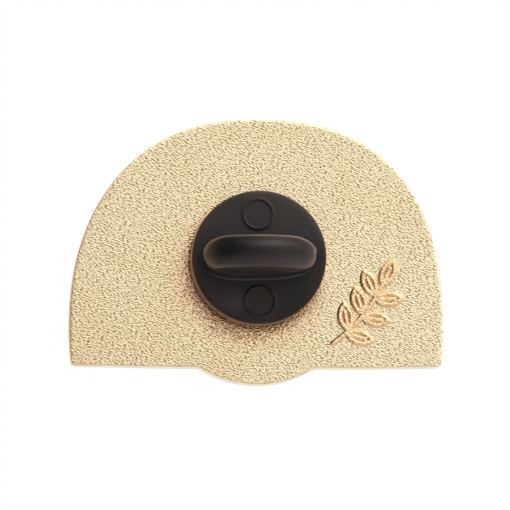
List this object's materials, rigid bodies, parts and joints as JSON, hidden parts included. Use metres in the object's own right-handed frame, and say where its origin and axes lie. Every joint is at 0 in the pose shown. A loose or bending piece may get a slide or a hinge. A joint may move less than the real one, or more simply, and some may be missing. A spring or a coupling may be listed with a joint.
{
  "type": "enamel pin",
  "caption": "Gold plated lapel pin with an arched top and flat base, enamel cells on the front, and a post on the back held by a black rubber clutch with a finger bar.",
  "frame": {"origin": "middle of the plate's outline in X and Y, on the plane of the front's raised lines, on which the pin lies face down", "axes": "+X to the right and +Y towards the arched top as seen from the back, +Z out of the back along the post"},
  "size_m": [0.03, 0.0214, 0.008],
  "materials": {
    "gold_plate": "gold plated, sandblasted back and polished lines",
    "gold_post": "gold plated, polished",
    "gilt_solder": "gold plated, satin",
    "black_rubber": "satin moulded",
    "enamel_yellow": "glossy baked enamel",
    "enamel_orange": "glossy baked enamel",
    "enamel_amber": "glossy baked enamel",
    "enamel_sky": "glossy baked enamel",
    "enamel_pale": "glossy baked enamel",
    "enamel_navy": "glossy baked enamel"
  },
  "bodies": {
    "pin": {"base_plate": "gold_plate", "post": "gold_post", "solder_ring": "gilt_solder", "enamel_sun": "enamel_yellow", "enamel_halo": "enamel_orange", "enamel_ray_1": "enamel_sky", "enamel_ray_2": "enamel_pale", "enamel_ray_3": "enamel_sky", "enamel_ray_4": "enamel_pale", "enamel_ray_5": "enamel_sky", "enamel_ray_6": "enamel_pale", "enamel_ray_7": "enamel_sky", "enamel_ray_8": "enamel_pale", "enamel_ray_9": "enamel_sky", "enamel_ray_10": "enamel_pale", "enamel_ray_11": "enamel_sky", "enamel_water_left": "enamel_navy", "enamel_water_right": "enamel_navy", "enamel_reflection": "enamel_amber"},
    "clutch": {"rubber_clutch": "black_rubber"}
  },
  "joints": [
    {"name": "clutch_slide", "type": "slide", "parent": "pin", "child": "clutch", "axis": [0, 0, 1], "range_m": [0, 0.01]}
  ]
}
